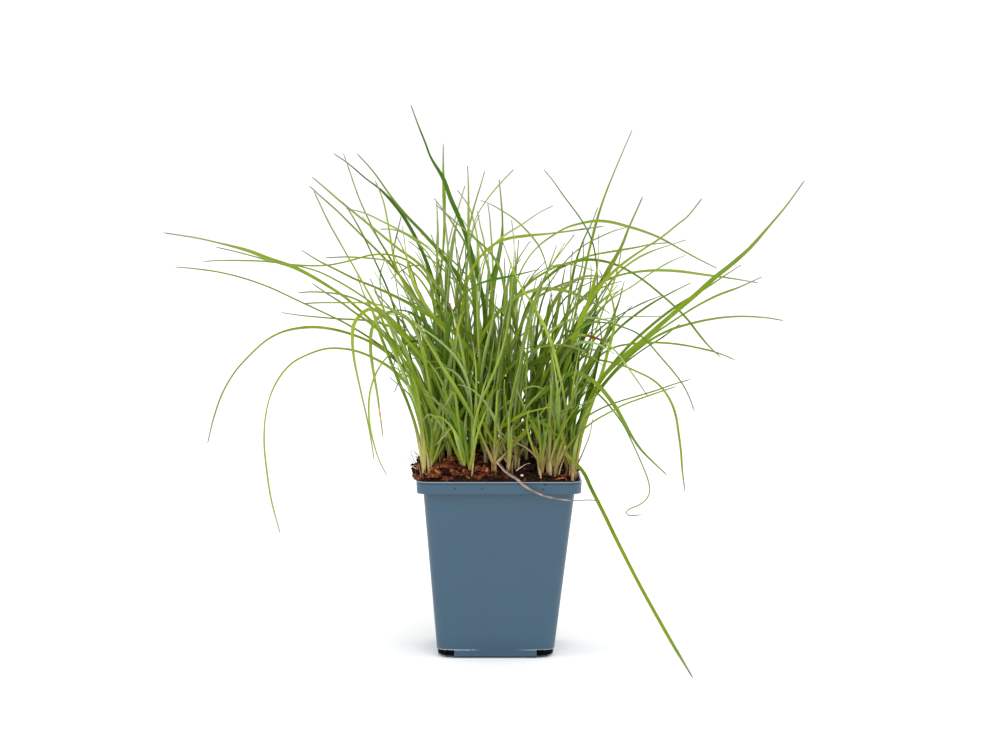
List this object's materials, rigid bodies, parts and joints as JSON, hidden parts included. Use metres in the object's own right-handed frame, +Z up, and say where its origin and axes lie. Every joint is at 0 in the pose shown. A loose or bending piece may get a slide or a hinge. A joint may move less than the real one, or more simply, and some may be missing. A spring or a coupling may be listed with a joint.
{
  "type": "potted ornamental grass clump",
  "caption": "Arching clump of fine-leaved ornamental grass in a square nursery pot, for shelves, patios and planting scenes.",
  "frame": {"origin": "centre of the pot's flat underside, on the ground", "axes": "+Z up; -Y is the front of the clump, where the long blade comes down over the rim to the ground; +X to the right"},
  "size_m": [0.3474, 0.2123, 0.3048],
  "materials": {
    "pot": "satin",
    "peat": "matte",
    "grass": "satin",
    "dry_leaf": "matte",
    "bark": "matte"
  },
  "bodies": {
    "root": {"pot": "pot", "root_ball": "peat", "shoot_01": "grass", "shoot_02": "grass", "shoot_03": "grass", "shoot_04": "grass", "shoot_05": "grass", "shoot_06": "grass", "shoot_07": "grass", "shoot_08": "grass", "shoot_09": "grass", "shoot_10": "grass", "shoot_11": "grass", "shoot_12": "grass", "shoot_13": "grass", "shoot_14": "grass", "shoot_15": "grass", "shoot_16": "grass", "shoot_17": "grass", "shoot_18": "grass", "shoot_19": "grass", "shoot_20": "grass", "shoot_21": "grass", "shoot_22": "grass", "shoot_23": "grass", "shoot_24": "grass", "shoot_25": "grass", "shoot_26": "grass", "shoot_27": "grass", "shoot_28": "grass", "shoot_29": "grass", "shoot_30": "grass", "shoot_31": "grass", "shoot_32": "grass", "shoot_33": "grass", "shoot_34": "grass", "shoot_35": "grass", "shoot_36": "grass", "shoot_37": "grass", "shoot_38": "grass", "shoot_39": "grass", "shoot_40": "grass", "shoot_41": "grass", "shoot_42": "grass", "shoot_43": "grass", "shoot_44": "grass", "shoot_45": "grass", "shoot_46": "grass", "shoot_47": "grass", "dry_leaf": "dry_leaf", "bark_chip_1": "bark", "bark_chip_2": "bark", "bark_chip_3": "bark", "bark_chip_4": "bark", "bark_chip_5": "bark", "bark_chip_6": "bark", "bark_chip_7": "bark", "bark_chip_8": "bark"}
  },
  "joints": []
}
